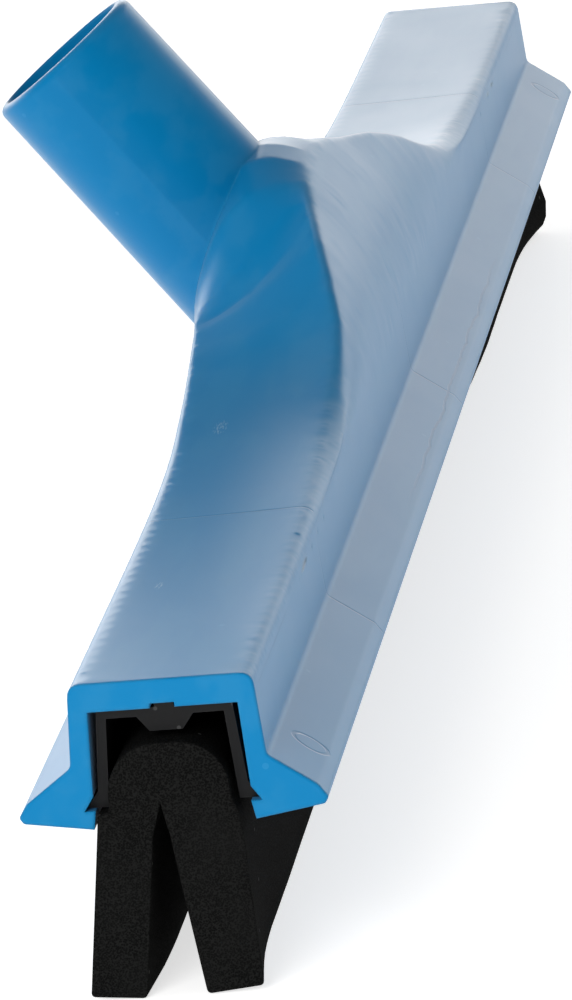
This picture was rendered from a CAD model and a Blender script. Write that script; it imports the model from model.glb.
"""Looks of a floor squeegee head: moulded housing, slide-out carrier and folded foam blade."""

import logging
import math
from dataclasses import dataclass
from enum import Enum

import bmesh
import bpy
from bpy.types import Material, Mesh, Node, NodeSocket, NodeTree, Object, ShaderNodeTree
from mathutils import Matrix, Vector, noise

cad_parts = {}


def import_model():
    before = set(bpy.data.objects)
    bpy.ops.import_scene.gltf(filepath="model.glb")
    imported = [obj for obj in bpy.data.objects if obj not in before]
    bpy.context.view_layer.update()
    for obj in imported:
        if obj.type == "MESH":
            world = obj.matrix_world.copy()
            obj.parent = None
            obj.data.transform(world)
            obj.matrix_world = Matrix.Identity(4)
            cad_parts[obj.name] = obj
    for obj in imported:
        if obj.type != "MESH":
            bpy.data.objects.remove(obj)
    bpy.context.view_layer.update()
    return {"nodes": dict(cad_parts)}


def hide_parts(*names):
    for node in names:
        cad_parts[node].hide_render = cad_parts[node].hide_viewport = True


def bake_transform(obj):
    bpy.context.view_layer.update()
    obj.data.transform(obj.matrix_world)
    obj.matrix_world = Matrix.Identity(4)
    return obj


LOG = logging.getLogger("squeegee_head")
MM = 0.001

Colour = tuple[float, float, float, float]
Point = tuple[float, float]


class Slot(Enum):
    """The record's material slots."""

    HOUSING = "blue_plastic"
    CARRIER = "black_plastic"
    FOAM = "foam_rubber"


class Leaf(Enum):
    """The two leaves of the folded blade, as the user sees them from the handle."""

    REAR = "rear_leaf"
    FRONT = "front_leaf"


# --- shader building blocks -----------------------------------------------------------


class NodeKit:
    """Adds shader nodes to one tree and wires them by name."""

    def __init__(self, tree: NodeTree) -> None:
        """Work on an existing tree."""
        self.tree = tree

    def add(self, kind: str, inputs: dict | None = None, **settings: object) -> Node:
        """Add one node.

        Args:
            kind: The node's type name.
            inputs: A value or a socket for each input, by name or by number.
            settings: Plain properties of the node.

        Returns:
            The new node.
        """
        node = self.tree.nodes.new(kind)
        for name, value in settings.items():
            setattr(node, name, value)
        for name, value in (inputs or {}).items():
            if isinstance(value, NodeSocket):
                self.tree.links.new(value, node.inputs[name])
            else:
                node.inputs[name].default_value = value
        return node

    def math(self, operation: str, *values: object) -> NodeSocket:
        """Work out one number from others and return its socket."""
        node = self.add("ShaderNodeMath", dict(enumerate(values)), operation=operation)
        return node.outputs[0]

    def ease(self, value: NodeSocket, low: float, high: float) -> NodeSocket:
        """Turn a value between low and high smoothly into 0 to 1."""
        node = self.add(
            "ShaderNodeMapRange",
            {"Value": value, "From Min": low, "From Max": high},
            interpolation_type="SMOOTHSTEP",
        )
        return node.outputs["Result"]

    def mix(self, share: object, first: object, second: object) -> NodeSocket:
        """Mix two colours and return the result's socket."""
        node = self.add("ShaderNodeMix", {0: share, 6: first, 7: second}, data_type="RGBA")
        return node.outputs[2]

    def cloud(self, where: NodeSocket, scale: float, detail: float = 2.0) -> NodeSocket:
        """Add a noise, scale in cells per metre, and return its value."""
        node = self.add("ShaderNodeTexNoise", {"Vector": where, "Scale": scale, "Detail": detail})
        return node.outputs["Fac"]

    def stretch(self, where: NodeSocket, scale: tuple, spot: tuple = (0, 0, 0)) -> NodeSocket:
        """Scale and shift the coordinates a pattern reads."""
        node = self.add("ShaderNodeMapping", {"Vector": where, "Scale": scale, "Location": spot})
        return node.outputs["Vector"]

    def place(self) -> NodeSocket:
        """Return the Object coordinates."""
        return self.add("ShaderNodeTexCoord").outputs["Object"]

    def axes(self, where: NodeSocket) -> tuple[NodeSocket, NodeSocket, NodeSocket]:
        """Split coordinates into x, y and z."""
        node = self.add("ShaderNodeSeparateXYZ", {0: where})
        return node.outputs[0], node.outputs[1], node.outputs[2]

    def band(self, value: object, middle: object, half: float) -> NodeSocket:
        """Mask that is 1 where value meets middle and fades to 0 at half either side."""
        off = self.math("ABSOLUTE", self.math("SUBTRACT", value, middle))
        return self.math("SUBTRACT", 1.0, self.ease(off, half * 0.4, half))


class EffectGroup:
    """A shader node group that several finishes share."""

    name: str = ""
    wants: tuple[tuple[str, str, float], ...] = ()
    gives: tuple[str, ...] = ()

    def tree(self) -> ShaderNodeTree:
        """Return the group, built the first time it is asked for."""
        found = bpy.data.node_groups.get(self.name)
        return found or self.build()

    def build(self) -> ShaderNodeTree:
        """Make the group's sockets and let the effect fill it in.

        Returns:
            The finished group.
        """
        tree = bpy.data.node_groups.new(self.name, "ShaderNodeTree")
        for title, kind, value in self.wants:
            socket = tree.interface.new_socket(title, in_out="INPUT", socket_type=kind)
            if kind == "NodeSocketFloat":
                socket.default_value = value
        for title in self.gives:
            tree.interface.new_socket(title, in_out="OUTPUT", socket_type="NodeSocketFloat")
        kit = NodeKit(tree)
        source = kit.add("NodeGroupInput")
        kit.add("NodeGroupOutput", self.fill(kit, source))
        return tree

    def fill(self, kit: NodeKit, source: Node) -> dict[str, NodeSocket]:
        """Build the effect's nodes and return its outputs by name."""
        raise NotImplementedError

    def use(self, kit: NodeKit, values: dict) -> Node:
        """Place the group in a material.

        Args:
            kit: The material's node kit.
            values: The group's inputs by name.

        Returns:
            The group node.
        """
        node = kit.tree.nodes.new("ShaderNodeGroup")
        node.node_tree = self.tree()
        for name, value in values.items():
            if isinstance(value, NodeSocket):
                kit.tree.links.new(value, node.inputs[name])
            else:
                node.inputs[name].default_value = value
        return node


class EdgeRub(EffectGroup):
    """Wear on the corners, broken up so that it is not an even line."""

    name = "edge_rub"
    wants = (
        ("Where", "NodeSocketVector", 0),
        ("Radius", "NodeSocketFloat", 0.0008),
        ("Break Up", "NodeSocketFloat", 300.0),
    )
    gives = ("Mask",)

    def fill(self, kit: NodeKit, source: Node) -> dict[str, NodeSocket]:
        """Compare the rounded normal with the plain one, and patch the result with noise."""
        rounded = kit.add("ShaderNodeBevel", {"Radius": source.outputs["Radius"]}, samples=6)
        plain = kit.add("ShaderNodeNewGeometry").outputs["Normal"]
        facing = kit.add("ShaderNodeVectorMath", {0: rounded.outputs[0], 1: plain}, operation="DOT_PRODUCT")
        turned = kit.math("SUBTRACT", 1.0, facing.outputs["Value"])
        edge = kit.ease(turned, 0.02, 0.16)
        patch = kit.add(
            "ShaderNodeTexNoise",
            {"Vector": source.outputs["Where"], "Scale": source.outputs["Break Up"], "Detail": 3.0},
        )
        return {"Mask": kit.math("MULTIPLY", edge, kit.ease(patch.outputs["Fac"], 0.38, 0.62))}


class MouldSkin(EffectGroup):
    """Skin of moulded or extruded plastic: fine grain, soft waviness and flow streaks."""

    name = "mould_skin"
    wants = (
        ("Where", "NodeSocketVector", 0),
        ("Along", "NodeSocketVector", 0),
        ("Grain", "NodeSocketFloat", 0.000001),
        ("Waviness", "NodeSocketFloat", 0.00001),
    )
    gives = ("Height", "Mottle", "Streak")

    def fill(self, kit: NodeKit, source: Node) -> dict[str, NodeSocket]:
        """Add up the grain and the waves, and give the masks that tint the surface."""
        where, along = source.outputs["Where"], source.outputs["Along"]
        grain = kit.math("MULTIPLY", kit.cloud(where, 2600.0), source.outputs["Grain"])
        mottle = kit.cloud(where, 60.0, 2.0)
        streak = kit.cloud(along, 120.0, 3.0)
        wave = kit.math("MULTIPLY", kit.cloud(where, 60.0, 0.0), source.outputs["Waviness"])
        return {"Height": kit.math("ADD", grain, wave), "Mottle": mottle, "Streak": streak}


class Specks(EffectGroup):
    """Sparse specks of dust or lint, from a scatter of cells."""

    name = "specks"
    wants = (
        ("Where", "NodeSocketVector", 0),
        ("Scale", "NodeSocketFloat", 400.0),
        ("Share", "NodeSocketFloat", 0.05),
        ("Size", "NodeSocketFloat", 0.2),
    )
    gives = ("Mask",)

    def fill(self, kit: NodeKit, source: Node) -> dict[str, NodeSocket]:
        """Pick a share of the cells and keep a round dot in each."""
        cells = kit.add(
            "ShaderNodeTexVoronoi",
            {"Vector": source.outputs["Where"], "Scale": source.outputs["Scale"]},
        )
        pick, _, _ = kit.axes(cells.outputs["Color"])
        chosen = kit.math("LESS_THAN", pick, source.outputs["Share"])
        dot = kit.math("LESS_THAN", cells.outputs["Distance"], source.outputs["Size"])
        return {"Mask": kit.math("MULTIPLY", chosen, dot)}


# --- finishes -------------------------------------------------------------------------


@dataclass(frozen=True)
class Finish:
    """What every finish has: a name, a slot, a main colour, its gloss and its own light."""

    name: str
    slot: Slot
    colour: Colour
    roughness: float
    specular: float
    glow: float = 0.0
    corner: float = 0.0
    haze: float = 0.0

    def make(self) -> Material:
        """Build the material.

        Returns:
            The finished material.
        """
        material = bpy.data.materials.new(self.name)
        material.use_nodes = True
        material.node_tree.nodes.clear()
        kit = NodeKit(material.node_tree)
        shader = kit.add("ShaderNodeBsdfPrincipled", {"Specular IOR Level": self.specular})
        colour, roughness, height = self.surface(kit, kit.place())
        bump = kit.add("ShaderNodeBump", {"Height": height, "Distance": 1.0, "Strength": 1.0})
        if self.corner:
            soft = kit.add("ShaderNodeBevel", {"Radius": self.corner}, samples=6)
            kit.tree.links.new(soft.outputs[0], bump.inputs["Normal"])
        shader.inputs["Sheen Weight"].default_value = self.haze
        shader.inputs["Sheen Roughness"].default_value = 0.35
        shader.inputs["Sheen Tint"].default_value = (1.0, 0.98, 0.95, 1.0)
        shader.inputs["Emission Color"].default_value = (1.0, 1.0, 1.0, 1.0)
        shader.inputs["Emission Strength"].default_value = self.glow
        kit.tree.links.new(colour, shader.inputs["Base Color"])
        kit.tree.links.new(roughness, shader.inputs["Roughness"])
        kit.tree.links.new(bump.outputs[0], shader.inputs["Normal"])
        kit.add("ShaderNodeOutputMaterial", {"Surface": shader.outputs[0]})
        return material

    def surface(self, kit: NodeKit, where: NodeSocket) -> tuple[NodeSocket, NodeSocket, NodeSocket]:
        """Return the sockets of the colour, the roughness and the bump height in metres."""
        raise NotImplementedError

    def vary(self, kit: NodeKit, value: NodeSocket, spread: float) -> NodeSocket:
        """Roughness that moves by spread around the finish's own, as value goes 0 to 1."""
        centred = kit.math("SUBTRACT", value, 0.5)
        return kit.math("ADD", kit.math("MULTIPLY", centred, spread), self.roughness)


@dataclass(frozen=True)
class HousingFinish(Finish):
    """Satin blue moulding with the faint marks that its mould left."""

    name: str = "satin_blue_moulding"
    slot: Slot = Slot.HOUSING
    colour: Colour = (0.0, 0.195, 0.445, 1.0)
    roughness: float = 0.30
    specular: float = 0.14
    corner: float = 1.1 * MM
    haze: float = 0.13
    worn: Colour = (0.05, 0.29, 0.54, 1.0)
    chalk: Colour = (0.02, 0.225, 0.46, 1.0)
    top_z: float = 60.4 * MM
    flange_y: float = 18.6 * MM
    top_joins: tuple[float, ...] = (-188 * MM, 188 * MM)
    flange_joins: tuple[float, ...] = (-184 * MM, 17 * MM, 194 * MM)
    join_half: float = 0.45 * MM
    flank_join: float = 17 * MM
    flank_join_top: float = 80 * MM
    shade: Colour = (0.0, 0.10, 0.26, 1.0)
    scratch: Colour = (0.30, 0.45, 0.60, 1.0)
    scuffs: tuple[tuple[float, float, float], ...] = (
        (125 * MM, -9 * MM, 5 * MM),
        (236 * MM, -8 * MM, 3 * MM),
    )
    pin_mark: Point = (281 * MM, 24 * MM)
    pin_radius: float = 3.0 * MM

    def joins(self, kit: NodeKit, where: NodeSocket) -> NodeSocket:
        """Thin witness lines where the mould's inserts met, on the top and on one flange.

        Args:
            kit: The material's node kit.
            where: Object coordinates.

        Returns:
            Mask of the lines.
        """
        x, y, z = kit.axes(where)
        on_top = kit.ease(z, self.top_z, self.top_z + 0.3 * MM)
        on_flange = kit.ease(y, self.flange_y - 1.5 * MM, self.flange_y)
        total = None
        for spots, region in ((self.top_joins, on_top), (self.flange_joins, on_flange)):
            for spot in spots:
                line = kit.math("MULTIPLY", kit.band(x, spot, self.join_half), region)
                total = line if total is None else kit.math("MAXIMUM", total, line)
        on_flank = kit.math("MULTIPLY", kit.ease(z, self.flank_join_top, 50 * MM), kit.ease(y, 0.0, 6 * MM))
        line = kit.math("MULTIPLY", kit.band(x, self.flank_join, 0.7 * self.join_half), on_flank)
        return kit.math("MAXIMUM", total, line)

    def scuffed(self, kit: NodeKit, where: NodeSocket) -> NodeSocket:
        """Small pale scratches on the scoop and the top, broken into strokes."""
        x, y, z = kit.axes(where)
        strokes = kit.cloud(kit.stretch(where, (0.35, 2.2, 0.2)), 1500.0, 2.0)
        total = None
        for along, across, size in self.scuffs:
            off_x = kit.math("POWER", kit.math("DIVIDE", kit.math("SUBTRACT", x, along), size), 2)
            off_y = kit.math("POWER", kit.math("DIVIDE", kit.math("SUBTRACT", y, across), size * 0.35), 2)
            spot = kit.math("SUBTRACT", 1.0, kit.ease(kit.math("ADD", off_x, off_y), 0.2, 1.0))
            total = spot if total is None else kit.math("MAXIMUM", total, spot)
        upper = kit.math("MULTIPLY", total, kit.ease(z, 57 * MM, 59 * MM))
        return kit.math("MULTIPLY", upper, kit.ease(strokes, 0.5, 0.6))

    def pin_ring(self, kit: NodeKit, where: NodeSocket) -> NodeSocket:
        """Round mark of an ejector pin near each end of the flange."""
        x, y, _ = kit.axes(where)
        across = kit.math("SUBTRACT", kit.math("ABSOLUTE", x), self.pin_mark[0])
        off = kit.math("SUBTRACT", y, self.pin_mark[1])
        reach = kit.math("SQRT", kit.math("ADD", kit.math("POWER", across, 2), kit.math("POWER", off, 2)))
        return kit.band(reach, self.pin_radius, 0.5 * MM)

    def flow_line(self, kit: NodeKit, where: NodeSocket) -> NodeSocket:
        """Wandering line along the flange where two streams of plastic met."""
        x, y, _ = kit.axes(where)
        wander = kit.math("MULTIPLY", kit.cloud(kit.stretch(where, (1, 0, 0)), 45.0, 3.0), 2.6 * MM)
        line = kit.band(y, kit.math("ADD", wander, 24.6 * MM), 0.32 * MM)
        near = kit.math("SUBTRACT", 1.0, kit.ease(kit.math("ABSOLUTE", x), 60 * MM, 120 * MM))
        return kit.math("MULTIPLY", line, near)

    def surface(self, kit: NodeKit, where: NodeSocket) -> tuple[NodeSocket, NodeSocket, NodeSocket]:
        """Blend skin, marks, scuffs and edge wear.

        Args:
            kit: The material's node kit.
            where: Object coordinates.

        Returns:
            Colour, roughness and bump height.
        """
        along = kit.stretch(where, (0.22, 1.0, 1.0))
        skin = MouldSkin().use(
            kit, {"Where": where, "Along": along, "Grain": 0.0000022, "Waviness": 0.000003}
        )
        edge = EdgeRub().use(kit, {"Where": where, "Radius": 0.9 * MM, "Break Up": 160.0}).outputs[0]
        dust = Specks().use(kit, {"Where": where, "Scale": 210.0, "Share": 0.05, "Size": 0.14}).outputs[0]
        marks = kit.math("MAXIMUM", self.joins(kit, where), self.pin_ring(kit, where))
        marks = kit.math("MAXIMUM", marks, self.flow_line(kit, where))
        cloudy = kit.math("MULTIPLY", skin.outputs["Mottle"], kit.ease(skin.outputs["Streak"], 0.3, 0.7))
        tint = kit.math("MULTIPLY", kit.ease(cloudy, 0.15, 0.55), 0.4)
        colour = kit.mix(tint, self.colour, self.chalk)
        colour = kit.mix(kit.math("MULTIPLY", edge, 0.35), colour, self.worn)
        colour = kit.mix(kit.math("MULTIPLY", dust, 0.25), colour, self.worn)
        colour = kit.mix(kit.math("MULTIPLY", marks, 0.3), colour, self.shade)
        colour = kit.mix(kit.math("MULTIPLY", self.scuffed(kit, where), 0.6), colour, self.scratch)
        roughness = self.vary(kit, skin.outputs["Mottle"], 0.05)
        roughness = kit.math("ADD", roughness, kit.math("MULTIPLY", edge, 0.1))
        sink = kit.math("MULTIPLY", marks, -0.00005)
        return colour, roughness, kit.math("ADD", skin.outputs["Height"], sink)


@dataclass(frozen=True)
class CarrierFinish(Finish):
    """Matt black extrusion, drawn lines along its length and dust in its corners."""

    name: str = "matt_black_extrusion"
    slot: Slot = Slot.CARRIER
    colour: Colour = (0.0045, 0.0047, 0.0052, 1.0)
    roughness: float = 0.52
    specular: float = 0.22
    worn: Colour = (0.022, 0.023, 0.025, 1.0)
    drawn: Colour = (0.0075, 0.0078, 0.0085, 1.0)
    dusty: Colour = (0.09, 0.09, 0.09, 1.0)

    def surface(self, kit: NodeKit, where: NodeSocket) -> tuple[NodeSocket, NodeSocket, NodeSocket]:
        """Blend the drawn lines, rubbed edges and dust.

        Args:
            kit: The material's node kit.
            where: Object coordinates.

        Returns:
            Colour, roughness and bump height.
        """
        along = kit.stretch(where, (0.02, 8.0, 8.0))
        skin = MouldSkin().use(
            kit, {"Where": where, "Along": along, "Grain": 0.000004, "Waviness": 0.00002}
        )
        edge = EdgeRub().use(kit, {"Where": where, "Radius": 0.4 * MM, "Break Up": 420.0}).outputs[0]
        dust = Specks().use(kit, {"Where": where, "Scale": 520.0, "Share": 0.04, "Size": 0.2}).outputs[0]
        colour = kit.mix(kit.ease(skin.outputs["Streak"], 0.3, 0.8), self.colour, self.drawn)
        colour = kit.mix(kit.math("MULTIPLY", edge, 0.6), colour, self.worn)
        colour = kit.mix(kit.math("MULTIPLY", dust, 0.5), colour, self.dusty)
        return colour, self.vary(kit, skin.outputs["Streak"], 0.3), skin.outputs["Height"]


@dataclass(frozen=True)
class FoamFinish(Finish):
    """Fine-celled black foam rubber: open cells on a dull skin, a few pale specks."""

    name: str = "black_cell_foam"
    slot: Slot = Slot.FOAM
    colour: Colour = (0.0036, 0.0038, 0.0037, 1.0)
    roughness: float = 0.94
    specular: float = 0.005
    cell: float = 3000.0
    wall: Colour = (0.0115, 0.0118, 0.0115, 1.0)
    lint: Colour = (0.075, 0.075, 0.072, 1.0)

    def surface(self, kit: NodeKit, where: NodeSocket) -> tuple[NodeSocket, NodeSocket, NodeSocket]:
        """Blend two sizes of cell, soft patches and lint.

        Args:
            kit: The material's node kit.
            where: Object coordinates.

        Returns:
            Colour, roughness and bump height.
        """
        fine = kit.add("ShaderNodeTexVoronoi", {"Vector": where, "Scale": self.cell}).outputs["Distance"]
        wide = kit.add("ShaderNodeTexVoronoi", {"Vector": where, "Scale": self.cell * 0.45})
        patch = kit.cloud(where, 60.0, 3.0)
        pore = kit.math("MULTIPLY", kit.ease(wide.outputs["Distance"], 0.5, 0.15), 0.5)
        depth = kit.math("ADD", kit.ease(fine, 0.1, 0.75), pore)
        colour = kit.mix(kit.ease(fine, 0.25, 0.8), self.colour, self.wall)
        colour = kit.mix(kit.math("MULTIPLY", kit.ease(patch, 0.45, 0.75), 0.35), colour, self.wall)
        lint = Specks().use(kit, {"Where": where, "Scale": 330.0, "Share": 0.07, "Size": 0.13}).outputs[0]
        colour = kit.mix(kit.math("MULTIPLY", lint, 0.7), colour, self.lint)
        height = kit.math("MULTIPLY", depth, 0.000035)
        return colour, self.vary(kit, patch, 0.12), height


@dataclass(frozen=True)
class FloorFinish(Finish):
    """Plain pale table with a very light tooth, lit a little from below."""

    name: str = "pale_floor"
    slot: Slot = Slot.HOUSING
    colour: Colour = (0.78, 0.78, 0.78, 1.0)
    roughness: float = 0.8
    specular: float = 0.1
    glow: float = 0.68

    def surface(self, kit: NodeKit, where: NodeSocket) -> tuple[NodeSocket, NodeSocket, NodeSocket]:
        """Return an almost even white with a light tooth."""
        tooth = kit.cloud(where, 40.0, 2.0)
        colour = kit.mix(tooth, self.colour, (0.80, 0.80, 0.80, 1.0))
        return colour, self.vary(kit, tooth, 0.1), kit.math("MULTIPLY", tooth, 0.00002)


# --- sub-assemblies -------------------------------------------------------------------


@dataclass
class PlasticPart:
    """A moulded or extruded part whose CAD shape is right: it gets its finish here."""

    node: str
    finish: Finish

    def dress(self, nodes: dict[str, Object]) -> None:
        """Put the finish in the part's material slots.

        Args:
            nodes: CAD objects by node name.
        """
        piece = nodes[self.node]
        material = self.finish.make()
        if not piece.material_slots:
            piece.data.materials.append(material)
        for place in piece.material_slots:
            place.material = material
        LOG.info("%s: %s on %d faces", self.node, self.finish.name, len(piece.data.polygons))


@dataclass
class FoamHalf:
    """One half of the folded foam strip: its part of the crown and one leaf.

    The two halves meet at the middle plane above the slot, where the strip is one piece.
    In mm, flare is how far the foot spreads at both ends, drift how far the far half of the
    foot has set outwards, and buckle how far the far end bulges a little above the foot.
    """

    leaf: Leaf
    outline: tuple[Point, ...]
    rounds: dict[int, tuple[float, int]]
    flare: float
    drift: float
    buckle: float
    bend_y: float
    replaced: tuple[str, ...]
    length: float = 602 * MM
    end_round: float = 0.6 * MM
    seam_y: float = -0.9 * MM
    slot_top: float = 37.9 * MM
    bend_from: float = 33.5 * MM
    bend_to: float = 27.0 * MM
    flare_reach: float = 36 * MM
    buckle_reach: float = 72 * MM
    buckle_scale: float = 9.5
    drift_slope: float = 4.5
    drift_delay: float = 0.3
    slices: int = 110
    ripple: float = 0.16 * MM

    def bar(self) -> bmesh.types.BMesh:
        """Extrude the outline and round its long edges.

        Returns:
            The plain bar, with sharp ends.
        """
        bm = bmesh.new()
        ring = [bm.verts.new((-self.length / 2, y * MM, z * MM)) for y, z in self.outline]
        end = bm.faces.new(ring)
        pushed = bmesh.ops.extrude_face_region(bm, geom=[end])["geom"]
        far = [v for v in pushed if isinstance(v, bmesh.types.BMVert)]
        bmesh.ops.translate(bm, verts=far, vec=(self.length, 0, 0))
        bmesh.ops.recalc_face_normals(bm, faces=bm.faces)
        for index, (radius, segments) in self.rounds.items():
            y, z = self.outline[index]
            corner = [e for e in bm.edges if self.on_line(e, y * MM, z * MM)]
            bmesh.ops.bevel(
                bm,
                geom=corner,
                offset=radius * MM,
                offset_type="OFFSET",
                affect="EDGES",
                segments=segments,
                profile=0.5,
                material=-1,
                clamp_overlap=True,
            )
        return bm

    @staticmethod
    def on_line(edge: bmesh.types.BMEdge, y: float, z: float) -> bool:
        """Whether an edge is the long one through y and z."""
        return all(abs(v.co.y - y) < 1e-6 and abs(v.co.z - z) < 1e-6 for v in edge.verts)

    def round_ends(self, bm: bmesh.types.BMesh) -> None:
        """Soften the cut ends all round, but not along the seam between the halves."""
        rim = []
        for edge in bm.edges:
            at_end = all(abs(abs(v.co.x) - self.length / 2) < 1e-6 for v in edge.verts)
            on_seam = all(abs(v.co.y - self.seam_y) < 1e-6 for v in edge.verts)
            if at_end and not on_seam:
                rim.append(edge)
        bmesh.ops.bevel(
            bm,
            geom=rim,
            offset=self.end_round,
            offset_type="OFFSET",
            affect="EDGES",
            segments=3,
            profile=0.5,
            material=-1,
            clamp_overlap=True,
        )

    def slice_up(self, bm: bmesh.types.BMesh) -> None:
        """Cut the bar across and level, so that it can flare, ripple and bend."""
        half = self.length / 2 - 2 * self.end_round
        cuts = [((-half + 2 * half * k / self.slices, 0, 0), (1, 0, 0)) for k in range(self.slices + 1)]
        levels = [2.0, 4.0, 8.0, 13.0, 18.0, 22.0, 25.0]
        levels += [27.0 + 1.0 * k for k in range(8)]
        cuts += [((0, 0, level * MM), (0, 0, 1)) for level in levels]
        for spot, normal in cuts:
            geom = [*bm.verts, *bm.edges, *bm.faces]
            bmesh.ops.bisect_plane(bm, geom=geom, dist=1e-7, plane_co=spot, plane_no=normal)

    def shape(self, bm: bmesh.types.BMesh) -> None:
        """Flare the ends, let the far half drift and buckle, and ripple the long cut faces.

        Args:
            bm: The sliced bar, moved in place.
        """
        for vert in bm.verts:
            deep = max(0.0, 1.0 - vert.co.z / self.bend_from)
            near_end = max(0.0, 1.0 - (self.length / 2 - abs(vert.co.x)) / self.flare_reach)
            far_end = max(0.0, 1.0 - (self.length / 2 + vert.co.x) / self.buckle_reach)
            level = min(1.0, vert.co.z / self.bend_from)
            set_share = -vert.co.x / self.length * self.drift_slope - self.drift_delay
            drifted = min(1.0, max(0.0, set_share))
            bulge = self.buckle_scale * level * (1.0 - level) ** 3
            vert.co.y += self.flare * MM * near_end**2 * deep
            vert.co.y += self.drift * MM * drifted * deep
            vert.co.y += self.buckle * MM * far_end**2 * bulge
            wave = noise.noise(Vector((vert.co.x * 22.0, vert.co.z * 9.0, self.bend_y * 100)))
            fine = noise.noise(Vector((vert.co.x * 120.0, 3.7, self.bend_y * 50)))
            vert.co.y += (wave + 0.4 * fine) * self.ripple * min(1.0, 3.0 * deep)
            if vert.co.z < 3 * MM:
                vert.co.z += abs(fine) * self.ripple

    def smooth(self, mesh: Mesh) -> None:
        """Shade the mesh smooth except at its real corners."""
        mesh.polygons.foreach_set("use_smooth", [True] * len(mesh.polygons))
        mesh.set_sharp_from_angle(angle=math.radians(38))

    def make(self, finish: FoamFinish, material: Material) -> Object:
        """Build the half, give it its finish and let it bend with the blade.

        Args:
            finish: The foam's finish, for its slot.
            material: The material made from it.

        Returns:
            The finished piece.
        """
        bm = self.bar()
        self.round_ends(bm)
        self.slice_up(bm)
        self.shape(bm)
        bmesh.ops.remove_doubles(bm, verts=bm.verts, dist=1e-7)
        bmesh.ops.recalc_face_normals(bm, faces=bm.faces)
        mesh = bpy.data.meshes.new(f"foam_{self.leaf.value}")
        bm.to_mesh(mesh)
        bm.free()
        self.smooth(mesh)
        mesh.materials.append(material)
        piece = bpy.data.objects.new(f"foam_{self.leaf.value}", mesh)
        bpy.context.collection.objects.link(piece)
        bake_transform(piece)
        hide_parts(*self.replaced)
        LOG.info("%s: %d faces", piece.name, len(mesh.polygons))
        return piece


@dataclass
class FoamBlade:
    """The folded strip: rear and front halves, sections in mm from the heel's side."""

    rear: tuple[Point, ...] = (
        (-0.9, 49.0),
        (-11.3, 49.0),
        (-11.9, 36.4),
        (-14.2, 35.8),
        (-14.6, 32.0),
        (-17.7, 0.9),
        (-7.2, 0.0),
        (-4.2, 31.6),
        (-2.3, 37.4),
        (-0.9, 38.4),
    )
    front: tuple[Point, ...] = (
        (-0.9, 49.0),
        (-0.9, 38.4),
        (-2.3, 37.9),
        (-1.3, 31.6),
        (0.2, 0.0),
        (11.0, 1.0),
        (12.4, 31.0),
        (12.0, 35.0),
        (11.0, 38.0),
        (10.8, 49.0),
    )

    def make(self) -> list[Object]:
        """Build both halves.

        Returns:
            The two pieces.
        """
        finish = FoamFinish()
        material = finish.make()
        rear = FoamHalf(
            leaf=Leaf.REAR,
            outline=self.rear,
            rounds={1: (9.0, 12), 2: (0.5, 2), 3: (0.5, 2), 5: (0.7, 2), 6: (0.7, 2)},
            flare=-1.6,
            drift=0.0,
            buckle=0.0,
            bend_y=-9.7 * MM,
            replaced=("blade_leaf_rear", "blade_fold"),
        )
        front = FoamHalf(
            leaf=Leaf.FRONT,
            outline=self.front,
            rounds={9: (9.0, 12), 4: (0.7, 2), 5: (0.7, 2)},
            flare=2.5,
            drift=3.3,
            buckle=3.7,
            bend_y=5.8 * MM,
            replaced=("blade_leaf_front",),
        )
        return [rear.make(finish, material), front.make(finish, material)]


# --- studio ---------------------------------------------------------------------------


@dataclass
class StudioCamera:
    """Camera by the near end of the head, a little above it."""

    azimuth: float = 97.88
    elevation: float = 14.70
    roll: float = -6.31
    distance: float = 1.75705
    target: tuple[float, float, float] = (0.0, -0.01449, 0.01353)
    long_side: float = 36.0
    lens: float = 286.03

    def make(self) -> Object:
        """Place the camera and make it the scene's.

        Returns:
            The camera.
        """
        a, e, r = (math.radians(value) for value in (self.azimuth, self.elevation, self.roll))
        back = Vector((math.sin(a) * math.cos(e), -math.cos(a) * math.cos(e), math.sin(e)))
        right = (-back).cross(Vector((0, 0, 1))).normalized()
        up = right.cross(-back)
        level = right * math.cos(r) + up * math.sin(r)
        upright = up * math.cos(r) - right * math.sin(r)
        data = bpy.data.cameras.new("studio_camera")
        data.sensor_fit = "AUTO"
        data.sensor_width = self.long_side
        data.lens = self.lens
        data.clip_start = 0.05
        data.clip_end = 100.0
        camera = bpy.data.objects.new("studio_camera", data)
        turn = Matrix((level, upright, back)).transposed().to_4x4()
        spot = Vector(self.target) + back * self.distance
        camera.matrix_world = Matrix.Translation(spot) @ turn
        bpy.context.collection.objects.link(camera)
        bpy.context.scene.camera = camera
        LOG.info("camera at %s", tuple(round(v, 3) for v in spot))
        return camera


@dataclass(frozen=True)
class SoftLamp:
    """A large soft lamp that fills in shade without a highlight of its own."""

    name: str
    spot: tuple[float, float, float]
    side: float
    watts: float

    def make(self) -> Object:
        """Hang the lamp, facing the object.

        Returns:
            The lamp.
        """
        data = bpy.data.lights.new(self.name, "AREA")
        data.shape = "DISK"
        data.size = self.side
        data.energy = self.watts
        lamp = bpy.data.objects.new(self.name, data)
        aim = Vector((0, 0, 0.04)) - Vector(self.spot)
        turn = aim.to_track_quat("-Z", "Y").to_matrix().to_4x4()
        lamp.matrix_world = Matrix.Translation(self.spot) @ turn
        lamp.visible_camera = False
        lamp.visible_glossy = False
        bpy.context.collection.objects.link(lamp)
        return lamp


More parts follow.
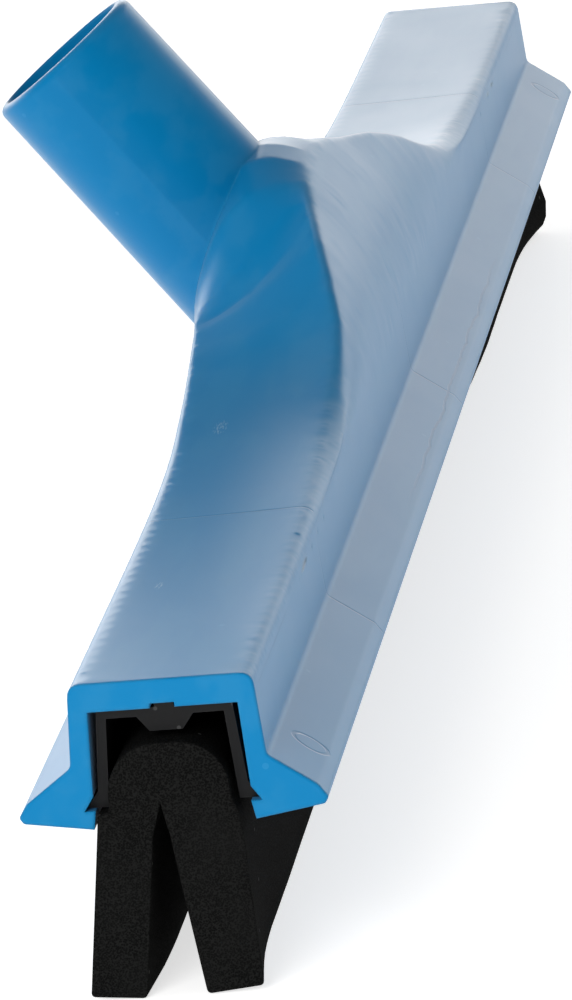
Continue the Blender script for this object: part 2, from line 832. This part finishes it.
@dataclass
class Studio:
    """Pale floor, a room that is bright behind the far end, and soft fill lamps."""

    floor_side: float = 80.0
    front_light: float = 0.15
    back_light: float = 0.25
    low_glow: float = 3.3
    top_light: float = 0.4
    far_side_share: float = 0.6
    tint: Colour = (1.0, 0.975, 0.945, 1.0)
    lamps: tuple[SoftLamp, ...] = (
        SoftLamp("near_fill", (1.15, -0.3, 0.5), 0.7, 7.0),
        SoftLamp("handle_side_fill", (0.4, -2.4, 1.2), 1.8, 9.0),
    )

    def floor(self) -> Object:
        """Lay the floor just under the blade.

        Returns:
            The floor.
        """
        bm = bmesh.new()
        bmesh.ops.create_grid(bm, x_segments=2, y_segments=2, size=self.floor_side / 2)
        bmesh.ops.translate(bm, verts=bm.verts, vec=(0, 0, -0.02 * MM))
        mesh = bpy.data.meshes.new("studio_floor")
        bm.to_mesh(mesh)
        bm.free()
        mesh.materials.append(FloorFinish().make())
        floor = bpy.data.objects.new("studio_floor", mesh)
        bpy.context.collection.objects.link(floor)
        return floor

    def room(self) -> None:
        """Light the room: dim in front, bright behind the far end, pale where seen."""
        world = bpy.data.worlds.new("studio_room")
        world.use_nodes = True
        world.node_tree.nodes.clear()
        kit = NodeKit(world.node_tree)
        x, y, z = kit.axes(kit.place())
        behind = kit.ease(x, 0.3, -0.7)
        above = kit.ease(z, 0.3, 0.95)
        low = kit.math("SUBTRACT", 1.0, kit.ease(z, 0.18, 0.42))
        level = kit.math("ADD", kit.math("MULTIPLY", low, self.low_glow), self.back_light)
        level = kit.math("ADD", kit.math("MULTIPLY", level, behind), self.front_light)
        side = kit.math("MULTIPLY", kit.ease(y, -0.12, 0.25), self.far_side_share - 1.0)
        level = kit.math("MULTIPLY", level, kit.math("ADD", side, 1.0))
        drop = kit.math("SUBTRACT", self.top_light, level)
        level = kit.math("ADD", level, kit.math("MULTIPLY", drop, above))
        seen = kit.add("ShaderNodeLightPath").outputs["Is Camera Ray"]
        plain = kit.math("MULTIPLY", kit.math("SUBTRACT", 0.97, level), seen)
        strength = kit.math("ADD", level, plain)
        glow = kit.add("ShaderNodeBackground", {"Color": self.tint, "Strength": strength})
        kit.add("ShaderNodeOutputWorld", {"Surface": glow.outputs[0]})
        bpy.context.scene.world = world

    def make(self) -> None:
        """Set up floor, room and lamps, and show colours as they are."""
        self.floor()
        self.room()
        for lamp in self.lamps:
            lamp.make()
        bpy.context.scene.view_settings.view_transform = "Standard"
        LOG.info("studio: %d lamps", len(self.lamps))


def main() -> None:
    """Build the looks of the whole head in order."""
    logging.basicConfig(level=logging.INFO, format="%(name)s: %(message)s")
    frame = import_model()
    StudioCamera().make()
    Studio().make()
    PlasticPart("housing", HousingFinish()).dress(frame["nodes"])
    PlasticPart("cassette_carrier", CarrierFinish()).dress(frame["nodes"])
    FoamBlade().make()


if __name__ == "__main__":
    main()
